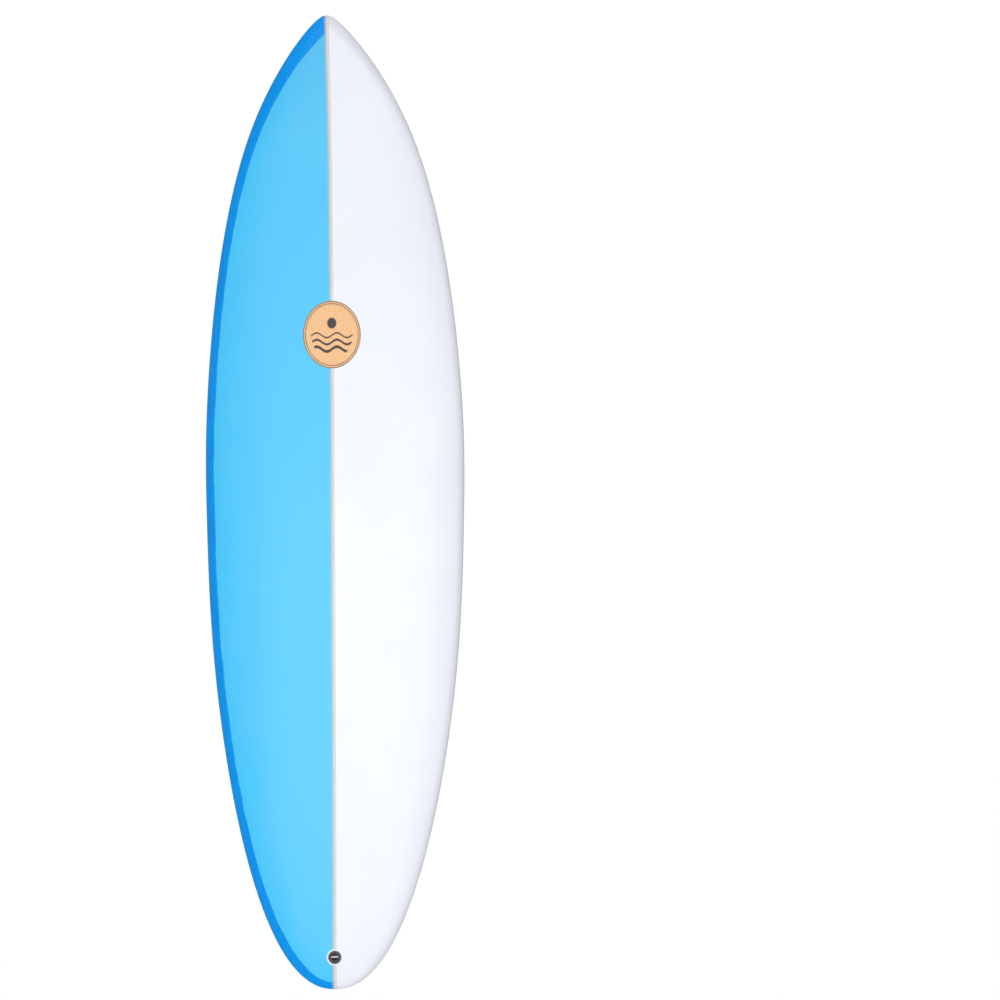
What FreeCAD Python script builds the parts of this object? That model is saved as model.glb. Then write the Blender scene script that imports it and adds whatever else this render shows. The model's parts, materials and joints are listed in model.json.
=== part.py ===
"""Shortboard surfboard, 6'4" x 20 3/4" x 2 5/8", with three twin-tab fin plugs and a leash plug.

The board stands on its tail: +Z runs from tail to nose, the deck faces -Y, the bottom faces +Y,
and the rider's left side is -X.  The origin is at the tail, in the middle of the width and depth.
All lengths are in millimetres.
"""
import FreeCAD, Part
import math
import os

import Sketcher
from FreeCAD import Placement, Rotation, Vector

# ---------------------------------------------------------------- driving dimensions

DIMENSIONS = {
    # the hull
    "board_length": 1930.0,
    "board_width": 527.0,
    "board_thickness": 67.0,
    "nose_rocker": 128.0,
    "tail_rocker": 62.0,
    "low_point": 66.0,          # the lowest line of the bottom lies this far in +Y from the origin
    "skin": 1.0,                # laminate thickness
    "lap_width": 19.0,          # how far the lap reaches in from the outline
    "lap_at_nose": 32.0,
    "lap_at_tail": 15.0,
    "lap_seam": 0.05,           # hairline between the lap's cut edge and the laminate inside it
    # the sawn and glued centre
    "stringer_width": 5.0,
    "glue_width": 0.8,
    "colour_break": -1.5,       # X of the edge between the tinted and the clear cloth
    # printed badges under the resin
    "deck_badge_height": 1306.0,
    "deck_badge_length": 136.0,
    "deck_badge_width": 116.0,
    "bottom_badge_height": 465.0,
    "bottom_badge_length": 71.0,
    "bottom_badge_width": 60.0,
    "mark_height": 1442.0,
    "mark_offset": 205.0,
    "mark_length": 92.0,
    "mark_width": 34.0,
    "mark_turn": 8.0,
    # fin plugs
    "side_plug_height": 350.0,
    "side_plug_offset": 152.0,
    "side_plug_toe": 3.5,
    "centre_plug_height": 157.0,
    "tab_spacing": 52.0,
    "lobe_radius": 20.75,
    "waist_width": 25.0,
    "flange_depth": 5.0,
    "well_radius": 16.0,
    "well_depth": 19.0,
    "bed_gap": 1.0,
    "proud": 4.0,               # tools and blanks start this far outside the hull
    # fin sockets
    "socket_end_radius": 5.75,
    "socket_end_offset": 7.75,
    "socket_boss_radius": 5.2,
    "socket_boss_offset": 8.6,
    "socket_depth": 16.0,
    "slot_length": 20.4,
    "slot_width": 5.4,
    "slot_depth": 14.5,
    "slot_heel_length": 9.0,
    "slot_heel_width": 7.0,
    # grub screws
    "screw_radius": 2.4,
    "screw_clearance": 0.05,
    "screw_length": 6.5,
    "screw_chamfer": 1.1,
    "screw_slant": 35.0,        # between the screw and the plug's own axis
    "screw_mouth": 9.0,         # where the bore meets the surface, from the slot's middle
    "screw_tip": 9.06,          # how far down the bore the point lies
    "hex_key": 2.4,
    "hex_depth": 2.5,
    # leash plug
    "leash_height": 64.5,
    "leash_cup_radius": 13.0,
    "leash_cup_depth": 15.0,
    "leash_well_radius": 7.0,
    "leash_well_depth": 12.0,
    "leash_mouth_chamfer": 2.0,
    "leash_bar_radius": 1.65,
    "leash_bar_length": 21.0,
    "leash_bar_depth": 3.6,
    "leash_bed_radius": 16.0,
    "leash_bed_depth": 16.0,
}

# Lengths that follow from the ones above.
DERIVED = {
    "stringer_half": "=stringer_width / 2",
    "glue_outside": "=stringer_width / 2 + glue_width",
    "tab_offset": "=tab_spacing / 2",
    # the waist's arc touches both lobes
    "waist_radius": "=(tab_spacing^2 + waist_width^2 - 4 * lobe_radius^2)"
                    " / (8 * lobe_radius - 4 * waist_width)",
    "bed_lobe_radius": "=lobe_radius + bed_gap",
    "bed_waist_radius": "=waist_radius - bed_gap",
    "bed_well_radius": "=well_radius + bed_gap",
    "slot_end_radius": "=slot_width / 2",
    "slot_end_offset": "=(slot_length - slot_width) / 2",
    "heel_radius": "=slot_heel_width / 2",
    "heel_back": "=(slot_length - slot_heel_width) / 2",
    "heel_front": "=slot_length / 2 - slot_heel_length + slot_heel_width / 2",
    "bore_radius": "=screw_radius + screw_clearance",
    "hex_radius": "=hex_key / sqrt(3)",
    "deck_badge_half_length": "=deck_badge_length / 2",
    "deck_badge_half_width": "=deck_badge_width / 2",
    "bottom_badge_half_length": "=bottom_badge_length / 2",
    "bottom_badge_half_width": "=bottom_badge_width / 2",
    "mark_radius": "=mark_width / 2",
    "mark_end_offset": "=(mark_length - mark_width) / 2",
}

# The hull's control net.  Each row is one control point of the planshape, from tail to nose:
# its place as a fraction of the length, the half-width as a fraction of half the board's width,
# the tail and nose rocker as fractions of theirs, and the thickness as a fraction of the greatest.
# The first two rows share a height, and so do the last two, which rounds the tail and the nose.
HULL_ROWS = [
    (0.000, 0.000, 1.00, 0.00, 0.00),
    (0.000, 0.272, 1.00, 0.00, 0.24),
    (0.085, 0.660, 0.55, 0.00, 0.52),
    (0.316, 0.960, 0.00, 0.00, 0.93),
    (0.484, 0.996, 0.00, 0.00, 1.02),
    (0.622, 1.018, 0.00, -0.01, 1.00),
    (0.912, 0.743, 0.00, 0.38, 0.54),
    (1.000, 0.085, 0.00, 1.00, 0.14),
    (1.000, 0.000, 0.00, 1.00, 0.00),
]

# The rail's section, from the middle of the deck to the middle of the bottom: each control point's
# distance from the centre as a fraction of the half-width, and its height as a fraction of the
# thickness.  The rail's widest point is the control point that is left open here.
DECK_SECTION = [(0.00, 1.00), (0.33, 1.00), (0.66, 0.93), (0.90, 0.70)]
BOTTOM_SECTION = [(0.93, 0.07), (0.70, 0.00), (0.35, 0.00), (0.00, 0.00)]
RAIL_HEIGHT = 0.36

REACH = 150.0                   # cutting tools reach this far past the board
DEGREE = 3                      # of every free-form curve and surface


doc = FreeCAD.newDocument("Surfboard")
sheet = doc.addObject("Spreadsheet::Sheet", "Sheet")
CELLS = {**DIMENSIONS, **DERIVED}
for row, alias in enumerate(CELLS, start=1):
    sheet.set("A%d" % row, alias)
    sheet.set("B%d" % row, str(CELLS[alias]))
    sheet.setAlias("B%d" % row, alias)
doc.recompute()


def dim(alias):
    """One driving dimension, as a plain number."""
    return float(sheet.get(alias))


def sheet_words(expression):
    """An expression whose words name dimensions, with each pointed at the sheet."""
    return " ".join("Sheet." + word if word in CELLS else word for word in expression.split())


def bind(obj, expressions):
    """Bind properties of an object, given as {property path: expression}, to the sheet."""
    for path, expression in expressions.items():
        obj.setExpression(path, sheet_words(expression))


# ---------------------------------------------------------------- document features


def boolean(kind, name, base, tool):
    """A Part::Cut or Part::Common of two objects."""
    obj = doc.addObject("Part::" + kind, name)
    obj.Base = base
    obj.Tool = tool
    obj.Label = name
    return obj


def cut(name, base, tool):
    return boolean("Cut", name, base, tool)


def common(name, base, tool):
    return boolean("Common", name, base, tool)


def fuse(name, shapes):
    """Several objects as one tool."""
    obj = doc.addObject("Part::MultiFuse", name)
    obj.Shapes = shapes
    obj.Refine = False
    return obj


def feature(name, shape):
    """A free-form solid, worked out from the sheet's dimensions."""
    obj = doc.addObject("Part::Feature", name)
    obj.Shape = shape
    return obj


# ---------------------------------------------------------------- the hull


def half_section():
    """Control points from the middle of the deck to the middle of the bottom, round one rail."""
    near_deck = DECK_SECTION[-1]
    near_bottom = BOTTOM_SECTION[0]
    # a uniform cubic passes at (before + 4 * point + after) / 6, which has to be 1 at the rail
    rail_x = (6.0 - near_deck[0] - near_bottom[0]) / 4.0
    return DECK_SECTION + [(rail_x, RAIL_HEIGHT)] + BOTTOM_SECTION


def hull_rows(inset):
    """The control rows in millimetres: height, half-width, bottom line and thickness."""
    rows = []
    centre = dim("glue_outside")
    for along, wide, tail, nose, thick in HULL_ROWS:
        z = along * dim("board_length")
        half_width = max(centre, wide * dim("board_width") / 2 - inset)
        rise = tail * dim("tail_rocker") + nose * dim("nose_rocker") + inset
        thickness = max(0.0, thick * dim("board_thickness") - 2 * inset)
        rows.append([z, half_width, dim("low_point") - rise, thickness])
    # the rows at each end draw in along the rocker, and the end points lie at the rail's height
    for end, beside, inner, draw in ((0, 1, 2, inset), (-1, -2, -3, -inset)):
        slope = (rows[inner][2] - rows[beside][2]) / (rows[inner][0] - rows[beside][0])
        rows[beside][0] += draw
        rows[beside][2] += slope * draw
        rows[end][0] = rows[beside][0]
        rows[end][2] = rows[beside][2] - RAIL_HEIGHT * rows[beside][3]
    return rows


def clamped(count):
    """Multiplicities and knots of a clamped uniform spline with that many control points."""
    spans = count - DEGREE
    return [DEGREE + 1] + [1] * (spans - 1) + [DEGREE + 1], [float(knot) for knot in range(spans + 1)]


def spline(points):
    """An edge that follows a control polygon."""
    mults, knots = clamped(len(points))
    curve = Part.BSplineCurve()
    curve.buildFromPolesMultsKnots(points, mults, knots, False, DEGREE)
    return curve.toShape()


def half_surface(inset, side):
    """One half of the hull, from the middle strip over the deck, round the rail, to the bottom."""
    centre = dim("glue_outside")
    section = half_section()
    poles = []
    for z, half_width, bottom, thickness in hull_rows(inset):
        poles.append([Vector(side * (centre + x * (half_width - centre)), bottom - height * thickness, z)
                      for x, height in section])
    long_mults, long_knots = clamped(len(poles))
    round_mults, round_knots = clamped(len(section))
    surface = Part.BSplineSurface()
    surface.buildFromPolesMultsKnots(poles, long_mults, round_mults, long_knots, round_knots,
                                     False, False, DEGREE, DEGREE)
    return surface


def half_patch(inset, side, face):
    """The deck or the bottom of one half, as far as the rail's widest line."""
    patch = half_surface(inset, side)
    first, last, deck_end, bottom_end = patch.bounds()
    rail = float(len(DECK_SECTION) - 1)
    if face == "deck":
        patch.segment(first, last, deck_end, rail)
    else:
        patch.segment(first, last, rail, bottom_end)
    return patch.toShape()


def rail_edge(inset, side):
    return half_surface(inset, side).vIso(float(len(DECK_SECTION) - 1)).toShape()


def centre_edge(inset, face, x):
    """The deck's or the bottom's middle line, in the plane at x."""
    share = 1.0 if face == "deck" else 0.0
    return spline([Vector(x, bottom - share * thickness, z)
                   for z, half_width, bottom, thickness in hull_rows(inset)])


def centre_profile(inset, x):
    """The hull seen from the side, as a face in the plane at x."""
    return Part.Face(Part.Wire([centre_edge(inset, face, x) for face in ("deck", "bottom")]))


def skin_profile(face, x):
    """The deck's or the bottom's laminate seen from the side, as a face in the plane at x."""
    outer = centre_edge(0.0, face, x)
    inner = centre_edge(dim("skin"), face, x)
    ends = [Part.LineSegment(outer.valueAt(at), inner.valueAt(at)).toShape()
            for at in (outer.FirstParameter, outer.LastParameter)]
    return Part.Face(Part.Wire([outer, ends[1], inner, ends[0]]))


def closed_solid(faces):
    """A solid from faces that meet edge to edge."""
    shell = Part.Shell(faces)
    shell.sewShape()
    solid = Part.makeSolid(shell)
    if solid.Volume < 0:
        solid.reverse()
    return solid


def half_solid(inset, side):
    """One half of the hull, up to the middle strip's edge."""
    faces = [half_patch(inset, side, face) for face in ("deck", "bottom")]
    return closed_solid(faces + [centre_profile(inset, side * dim("glue_outside"))])


def half_skin(side, face):
    """The deck's or the bottom's laminate on one half, between the hull and the foam."""
    skin = dim("skin")
    faces = [half_patch(inset, side, face) for inset in (0.0, skin)]
    faces.append(Part.makeRuledSurface(rail_edge(0.0, side), rail_edge(skin, side)))
    faces.append(skin_profile(face, side * dim("glue_outside")))
    return closed_solid(faces)


def lap_window(side, seams):
    """One half of the face inside the lap's edge, seen from the deck, in the XZ plane.

    It is widened all round by that many seams.
    """
    rows = hull_rows(0.0)
    seam = seams * dim("lap_seam")
    lap = dim("lap_width") - seam
    tail = dim("lap_at_tail") - seam
    nose = dim("board_length") - dim("lap_at_nose") + seam
    centre = side * dim("glue_outside")
    points = [Vector(side * (half_width - lap), 0, z) for z, half_width, bottom, thickness in rows[1:-1]]
    points[0].z = tail
    points[-1].z = nose
    ends = [Vector(centre, 0, tail), Vector(centre, 0, nose)]
    return Part.Face(Part.Wire([spline([ends[0]] + points + [ends[1]]),
                                Part.LineSegment(ends[1], ends[0]).toShape()]))


SIDES = {"left": -1, "right": 1}


def extrusion(name, outline, direction):
    """A face given its thickness along a direction."""
    solid = doc.addObject("Part::Extrusion", name)
    solid.Base = feature(name + "_outline", outline)
    solid.DirMode = "Custom"
    solid.Dir = direction
    solid.Solid = True
    return solid


def thick_profile(name, profile, x_from, x_to):
    """A side profile, made at x_from, given its thickness up to x_to: both sheet expressions."""
    solid = extrusion(name, profile, Vector(1, 0, 0))
    bind(solid, {"LengthFwd": "( %s ) - ( %s )" % (x_to, x_from)})
    return solid


def inside_lap(name, where, seams):
    """A prism through the board inside the lap's edge, on one half."""
    prism = extrusion("%s_%s" % (name, where), lap_window(SIDES[where], seams), Vector(0, 1, 0))
    prism.Symmetric = True
    prism.LengthFwd = 2 * REACH
    return prism


def inside_lap_middle(name, seams):
    """The same along the middle strip, where the lap's edge runs straight across."""
    box = doc.addObject("Part::Box", name + "_middle")
    box.Placement = Placement(Vector(0, -REACH, 0), Rotation())
    box.Width = 2 * REACH
    bind(box, {
        "Placement.Base.x": "0 - glue_outside",
        "Placement.Base.z": "lap_at_tail - %d * lap_seam" % seams,
        "Length": "2 * glue_outside",
        "Height": "board_length - lap_at_tail - lap_at_nose + %d * lap_seam" % (2 * seams),
    })
    return box


halves = {where: feature("Hull_" + where, half_solid(0.0, side)) for where, side in SIDES.items()}
cores = {where: feature("Core_" + where, half_solid(dim("skin"), side)) for where, side in SIDES.items()}
middle_profile = centre_profile(0.0, -dim("glue_outside"))
middle = thick_profile("Hull_middle", middle_profile, "0 - glue_outside", "glue_outside")
hull = fuse("Hull", [halves["left"], middle, halves["right"]])
doc.recompute()


def depth_range(x, z):
    """Y of the deck and of the bottom where a line along Y passes through the hull."""
    line = Part.LineSegment(Vector(x, -REACH, z), Vector(x, REACH, z)).toShape()
    box = hull.Shape.common(line).BoundBox
    return box.YMin, box.YMax


def surface_placement(x, z, side, turn=0.0):
    """A frame on the deck or the bottom: its Z points out of the board, its X towards the nose.

    turn swings its X about its Z, in degrees.
    """
    step = 5.0

    def point(px, pz):
        deck, bottom = depth_range(px, pz)
        return Vector(px, deck if side == "deck" else bottom, pz)

    forward = (point(x, z + step) - point(x, z - step)).normalize()
    out = (point(x + step, z) - point(x - step, z)).cross(forward).normalize()
    if (out.y > 0) != (side == "bottom"):
        out = -out
    rotation = Rotation(forward, out.cross(forward), out, "ZXY")
    return Placement(point(x, z), rotation.multiply(Rotation(Vector(0, 0, 1), turn)))


# ---------------------------------------------------------------- sketches and bodies


def new_body(name, placement=None):
    body = doc.addObject("PartDesign::Body", name)
    body.Placement = placement or Placement()
    return body


def new_sketch(body, name, offset="0", plane="XY_Plane"):
    """A sketch on one of a body's origin planes, offset from it by a sheet expression."""
    sketch = body.newObject("Sketcher::SketchObject", name)
    support = [item for item in body.Origin.OriginFeatures if item.Role == plane][0]
    sketch.AttachmentSupport = [(support, "")]
    sketch.MapMode = "FlatFace"
    sketch.setExpression("AttachmentOffset.Base.z", sheet_words(offset))
    return sketch


def drive(sketch, name, constraint, expression):
    """Add a dimension to a sketch and bind it to the sheet."""
    index = sketch.addConstraint(constraint)
    sketch.renameConstraint(index, name)
    sketch.setExpression("Constraints." + name, sheet_words(expression))


def hold_centre(sketch, name, tag, x, y):
    """Hold an arc's centre at x and y: each a dimension's name, one with a minus sign, or None."""
    for axis, kind, alias in ((-2, "DistanceX", x), (-1, "DistanceY", y)):
        if alias is None:
            sketch.addConstraint(Sketcher.Constraint("PointOnObject", tag, 3, axis))
            continue
        ends = (tag, 3, -1, 1) if alias.startswith("-") else (-1, 1, tag, 3)
        alias = alias.lstrip("-")
        drive(sketch, name + kind[-1], Sketcher.Constraint(kind, *ends, dim(alias)), alias)


def signed(alias):
    """The value of a dimension's name that may have a minus sign, or be None for zero."""
    if alias is None:
        return 0.0
    return -dim(alias[1:]) if alias.startswith("-") else dim(alias)


def add_arc(sketch, name, x, y, radius, start, stop):
    """An arc from start to stop, in radians, whose centre and radius the sheet drives."""
    circle = Part.Circle(Vector(signed(x), signed(y), 0), Vector(0, 0, 1), dim(radius))
    tag = sketch.addGeometry(Part.ArcOfCircle(circle, start, stop), False)
    hold_centre(sketch, name, tag, x, y)
    drive(sketch, name + "Radius", Sketcher.Constraint("Radius", tag, dim(radius)), radius)
    return tag


def add_circle(sketch, name, x, radius):
    """A circle on the sketch's X axis."""
    circle = Part.Circle(Vector(signed(x), 0, 0), Vector(0, 0, 1), dim(radius))
    tag = sketch.addGeometry(circle, False)
    hold_centre(sketch, name, tag, x, None)
    drive(sketch, name + "Radius", Sketcher.Constraint("Radius", tag, dim(radius)), radius)


def add_belt(sketch, name, circles):
    """The outline of a belt round circles given in counter-clockwise order as (x, y, radius)."""
    count = len(circles)
    normals = []
    for index, (x, y, radius) in enumerate(circles):
        next_x, next_y, next_radius = circles[(index + 1) % count]
        run = Vector(signed(next_x) - signed(x), signed(next_y) - signed(y), 0)
        lean = math.acos((dim(radius) - dim(next_radius)) / run.Length)
        normals.append(math.atan2(run.y, run.x) - lean)
    arcs = []
    for index, (x, y, radius) in enumerate(circles):
        start, stop = normals[index - 1], normals[index]
        if stop < start:
            stop += 2 * math.pi
        arcs.append(add_arc(sketch, "%s%d" % (name, index), x, y, radius, start, stop))
    for index in range(count):
        following = (index + 1) % count
        ends = []
        for x, y, radius in (circles[index], circles[following]):
            normal = Vector(math.cos(normals[index]), math.sin(normals[index]), 0)
            ends.append(Vector(signed(x), signed(y), 0) + normal * dim(radius))
        line = sketch.addGeometry(Part.LineSegment(*ends), False)
        sketch.addConstraint(Sketcher.Constraint("Tangent", arcs[index], 2, line, 1))
        sketch.addConstraint(Sketcher.Constraint("Tangent", line, 2, arcs[following], 1))


def pad(body, sketch, length, reverse=True):
    """Pad a sketch by a sheet expression, down into the board unless told otherwise."""
    obj = body.newObject("PartDesign::Pad", "Pad")
    obj.Profile = sketch
    obj.Reversed = reverse
    obj.setExpression("Length", sheet_words(length))
    return obj


# ---------------------------------------------------------------- fin plugs


def dumbbell_sketch(body, lobe, waist):
    """The plug's flange: two lobes joined by a waist of two hollow arcs."""
    sketch = new_sketch(body, "Dumbbell", "proud")
    across = dim("waist_width") / 2 + dim("waist_radius")
    lobe_angle = math.atan2(across, -dim("tab_offset"))
    waist_angle = math.atan2(dim("tab_offset"), across)
    quarter = math.pi / 2
    front = add_arc(sketch, "Front", "tab_offset", None, lobe, -lobe_angle, lobe_angle)
    rear = add_arc(sketch, "Rear", "-tab_offset", None, lobe, math.pi - lobe_angle, math.pi + lobe_angle)
    for side in (1, -1):
        circle = Part.Circle(Vector(0, side * across, 0), Vector(0, 0, 1), dim(waist))
        middle = -side * quarter
        arc = Part.ArcOfCircle(circle, middle - waist_angle, middle + waist_angle)
        tag = sketch.addGeometry(arc, False)
        front_end, rear_end = (2, 1) if side > 0 else (1, 2)
        sketch.addConstraint(Sketcher.Constraint("Tangent", front, 2 if side > 0 else 1, tag, front_end))
        sketch.addConstraint(Sketcher.Constraint("Tangent", rear, 1 if side > 0 else 2, tag, rear_end))
        name = "Waist%d" % (side + 1)
        drive(sketch, name, Sketcher.Constraint("Radius", tag, dim(waist)), waist)
    return sketch


def plug_blank(name, place, lobe, waist, well, margin):
    """A flange with a round well under each lobe.  margin widens its depths, as an expression."""
    body = new_body(name, place)
    pad(body, dumbbell_sketch(body, lobe, waist), "flange_depth + proud" + margin)
    wells = new_sketch(body, "Wells", "proud")
    add_circle(wells, "Front", "tab_offset", well)
    add_circle(wells, "Rear", "-tab_offset", well)
    pad(body, wells, "well_depth + proud" + margin)
    return body


def socket_blank(name, place, side):
    """The solid that a tab slot and its screw bore are cut from.  Its boss is on the side +1 or -1."""
    body = new_body(name, place)
    sketch = new_sketch(body, "Outline", "proud")
    boss = (None, "socket_boss_offset" if side > 0 else "-socket_boss_offset", "socket_boss_radius")
    front = ("socket_end_offset", None, "socket_end_radius")
    rear = ("-socket_end_offset", None, "socket_end_radius")
    add_belt(sketch, "Belt", [front, boss, rear] if side > 0 else [rear, boss, front])
    pad(body, sketch, "socket_depth + proud")
    return body


def slot_tool(name, place):
    """The slot for one fin tab, with its wider heel at the tail end."""
    body = new_body(name, place)
    main = new_sketch(body, "Main", "proud")
    ends = [("slot_end_offset", None, "slot_end_radius"), ("-slot_end_offset", None, "slot_end_radius")]
    add_belt(main, "Main", ends)
    pad(body, main, "slot_depth + proud")
    heel = new_sketch(body, "Heel", "proud")
    add_belt(heel, "Heel", [("-heel_front", None, "heel_radius"), ("-heel_back", None, "heel_radius")])
    pad(body, heel, "slot_depth + proud")
    return body


def screw_placement(place, side):
    """The screw's frame: origin where its bore meets the surface, Z out of the board along it."""
    slant = Rotation(Vector(1, 0, 0), -side * dim("screw_slant"))
    return place.multiply(Placement(Vector(0, side * dim("screw_mouth"), 0), slant))


def bore_tool(name, place):
    """The screw's bore, from outside the plug to the middle of the slot."""
    reach = dim("screw_mouth") / math.sin(math.radians(dim("screw_slant")))
    bore = doc.addObject("Part::Cylinder", name)
    bind(bore, {"Radius": "bore_radius", "Height": "proud + screw_mouth / sin( screw_slant )"})
    bore.Placement = place.multiply(Placement(Vector(0, 0, -reach), Rotation()))
    return bore


def grub_screw(name, place):
    """A headless screw with a chamfered point and a hexagon socket."""
    body = new_body(name, place)
    shank = new_sketch(body, "Shank", "0 - screw_tip")
    add_circle(shank, "Shank", None, "screw_radius")
    barrel = pad(body, shank, "screw_length", reverse=False)
    doc.recompute()
    rims = [i for i, edge in enumerate(barrel.Shape.Edges, start=1) if edge.Closed]
    tip = min(rims, key=lambda i: barrel.Shape.Edges[i - 1].CenterOfMass.z)
    point = body.newObject("PartDesign::Chamfer", "Point")
    point.Base = (barrel, ["Edge%d" % tip])
    bind(point, {"Size": "screw_chamfer"})
    hexagon = new_sketch(body, "Hexagon", "screw_length - screw_tip")
    radius = dim("hex_radius")
    ring = hexagon.addGeometry(Part.Circle(Vector(), Vector(0, 0, 1), radius), True)
    hexagon.addConstraint(Sketcher.Constraint("Coincident", ring, 3, -1, 1))
    drive(hexagon, "Across", Sketcher.Constraint("Radius", ring, radius), "hex_radius")
    corners = [Vector(radius * math.cos(k * math.pi / 3), radius * math.sin(k * math.pi / 3), 0)
               for k in range(6)]
    sides = [hexagon.addGeometry(Part.LineSegment(corners[k], corners[(k + 1) % 6]), False)
             for k in range(6)]
    for k in range(6):
        hexagon.addConstraint(Sketcher.Constraint("Coincident", sides[k], 2, sides[(k + 1) % 6], 1))
        hexagon.addConstraint(Sketcher.Constraint("PointOnObject", sides[k], 1, ring))
        if k:
            hexagon.addConstraint(Sketcher.Constraint("Equal", sides[0], sides[k]))
    hexagon.addConstraint(Sketcher.Constraint("PointOnObject", sides[0], 1, -1))
    pocket = body.newObject("PartDesign::Pocket", "Key")
    pocket.Profile = hexagon
    bind(pocket, {"Length": "hex_depth"})
    return body


sub_parts = []
bed_blanks = {}


def add_fin_plug(where, x, z, toe, sides):
    """A fin plug with its bed, two sockets and two screws, set flush in the bottom.

    sides says, for the front and the rear socket, which side the screw is on: +1 is towards +X.
    """
    place = surface_placement(x, z, "bottom", toe)
    blank = plug_blank("PlugBlank_" + where, place, "lobe_radius", "waist_radius", "well_radius", "")
    bed_blank = plug_blank("BedBlank_" + where, place, "bed_lobe_radius", "bed_waist_radius",
                           "bed_well_radius", " + bed_gap")
    bed_blanks[where] = bed_blank
    blanks = []
    for end, side in zip(("front", "rear"), sides):
        tag = where + "_" + end
        shift = dim("tab_offset") if end == "front" else -dim("tab_offset")
        spot = place.multiply(Placement(Vector(shift, 0, 0), Rotation()))
        socket = socket_blank("SocketBlank_" + tag, spot, side)
        blanks.append(socket)
        screw_place = screw_placement(spot, side)
        hollow_parts = [slot_tool("Slot_" + tag, spot), bore_tool("Bore_" + tag, screw_place)]
        hollow = fuse("SocketHollow_" + tag, hollow_parts)
        flush = common("SocketFlush_" + tag, socket, hull)
        sub_parts.append(cut("fin_socket_" + tag, flush, hollow))
        screw = grub_screw("grub_screw_" + tag, screw_place)
        screw.Label = "grub_screw_" + tag
        sub_parts.append(screw)
    plug_flush = common("PlugFlush_" + where, blank, hull)
    sub_parts.append(cut("fin_plug_" + where, plug_flush, fuse("PlugWells_" + where, blanks)))
    bed_flush = common("BedFlush_" + where, bed_blank, hull)
    sub_parts.append(cut("fin_plug_bed_" + where, bed_flush, blank))


add_fin_plug("left", -dim("side_plug_offset"), dim("side_plug_height"), dim("side_plug_toe"), (1, 1))
add_fin_plug("right", dim("side_plug_offset"), dim("side_plug_height"), -dim("side_plug_toe"), (-1, -1))
add_fin_plug("centre", 0.0, dim("centre_plug_height"), 0.0, (-1, 1))


# ---------------------------------------------------------------- leash plug


def add_leash_plug():
    """A cup set flush in the deck on the stringer, with a steel bar across its well."""
    place = surface_placement(0.0, dim("leash_height"), "deck")

    def round_blank(name, radius, depth):
        blank = doc.addObject("Part::Cylinder", name)
        bind(blank, {"Radius": radius, "Height": depth + " + proud"})
        blank.Placement = place.multiply(Placement(Vector(0, 0, -dim(depth)), Rotation()))
        return blank

    cup_blank = round_blank("CupBlank", "leash_cup_radius", "leash_cup_depth")
    bed_blank = round_blank("LeashBedBlank", "leash_bed_radius", "leash_bed_depth")
    bed_blanks["leash"] = bed_blank
    well = round_blank("LeashWell", "leash_well_radius", "leash_well_depth")
    mouth = doc.addObject("Part::Cone", "LeashMouth")
    bind(mouth, {
        "Radius1": "leash_well_radius",
        "Radius2": "leash_well_radius + leash_mouth_chamfer + proud",
        "Height": "leash_mouth_chamfer + proud",
    })
    mouth.Placement = place.multiply(Placement(Vector(0, 0, -dim("leash_mouth_chamfer")), Rotation()))
    bar = doc.addObject("Part::Cylinder", "leash_plug_bar")
    bar.Label = "leash_plug_bar"
    bind(bar, {"Radius": "leash_bar_radius", "Height": "leash_bar_length"})
    start = Vector(0, dim("leash_bar_length") / 2, -dim("leash_bar_depth"))
    bar.Placement = place.multiply(Placement(start, Rotation(Vector(1, 0, 0), 90)))
    sub_parts.append(bar)
    hollow = fuse("CupHollow", [well, mouth, bar])
    sub_parts.append(cut("leash_plug_cup", common("CupFlush", cup_blank, hull), hollow))
    sub_parts.append(cut("leash_plug_bed", common("LeashBedFlush", bed_blank, hull), cup_blank))


add_leash_plug()


# ---------------------------------------------------------------- badges


def badge_tool(name, x, z, side, turn=0.0):
    """An empty body whose XY plane faces out of the deck or the bottom, halfway down the board."""
    deck, bottom = depth_range(x, z)
    facing = Rotation(Vector(1, 0, 0), 90) if side == "deck" else Rotation(Vector(1, 0, 0), -90)
    spin = Rotation(Vector(0, 0, 1), turn)
    return new_body(name, Placement(Vector(x, (deck + bottom) / 2, z), facing.multiply(spin)))


def oval_tool(name, z, side, half_length, half_width):
    """A prism with an oval outline, on the centre line, for a badge."""
    body = badge_tool(name, 0.0, z, side)
    sketch = new_sketch(body, "Oval")
    tall = dim(half_length)
    wide = dim(half_width)
    oval = Part.Ellipse(Vector(0, tall, 0), Vector(wide, 0, 0), Vector())
    tag = sketch.addGeometry(oval, False)
    sketch.exposeInternalGeometry(tag)
    sketch.addConstraint(Sketcher.Constraint("Coincident", tag, 3, -1, 1))
    major, minor = tag + 1, tag + 2
    sketch.addConstraint(Sketcher.Constraint("Vertical", major))
    drive(sketch, "Tall", Sketcher.Constraint("Distance", major, 2 * tall), "2 * " + half_length)
    drive(sketch, "Wide", Sketcher.Constraint("Distance", minor, 2 * wide), "2 * " + half_width)
    pad(body, sketch, "board_thickness", reverse=False)
    return body


def mark_tool(name):
    """A prism with a long rounded outline beside the right rail, for the mark on the bottom."""
    body = badge_tool(name, dim("mark_offset"), dim("mark_height"), "bottom", 90.0 + dim("mark_turn"))
    sketch = new_sketch(body, "Patch")
    ends = [("mark_end_offset", None, "mark_radius"), ("-mark_end_offset", None, "mark_radius")]
    add_belt(sketch, "Patch", ends)
    pad(body, sketch, "board_thickness", reverse=False)
    return body


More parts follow.
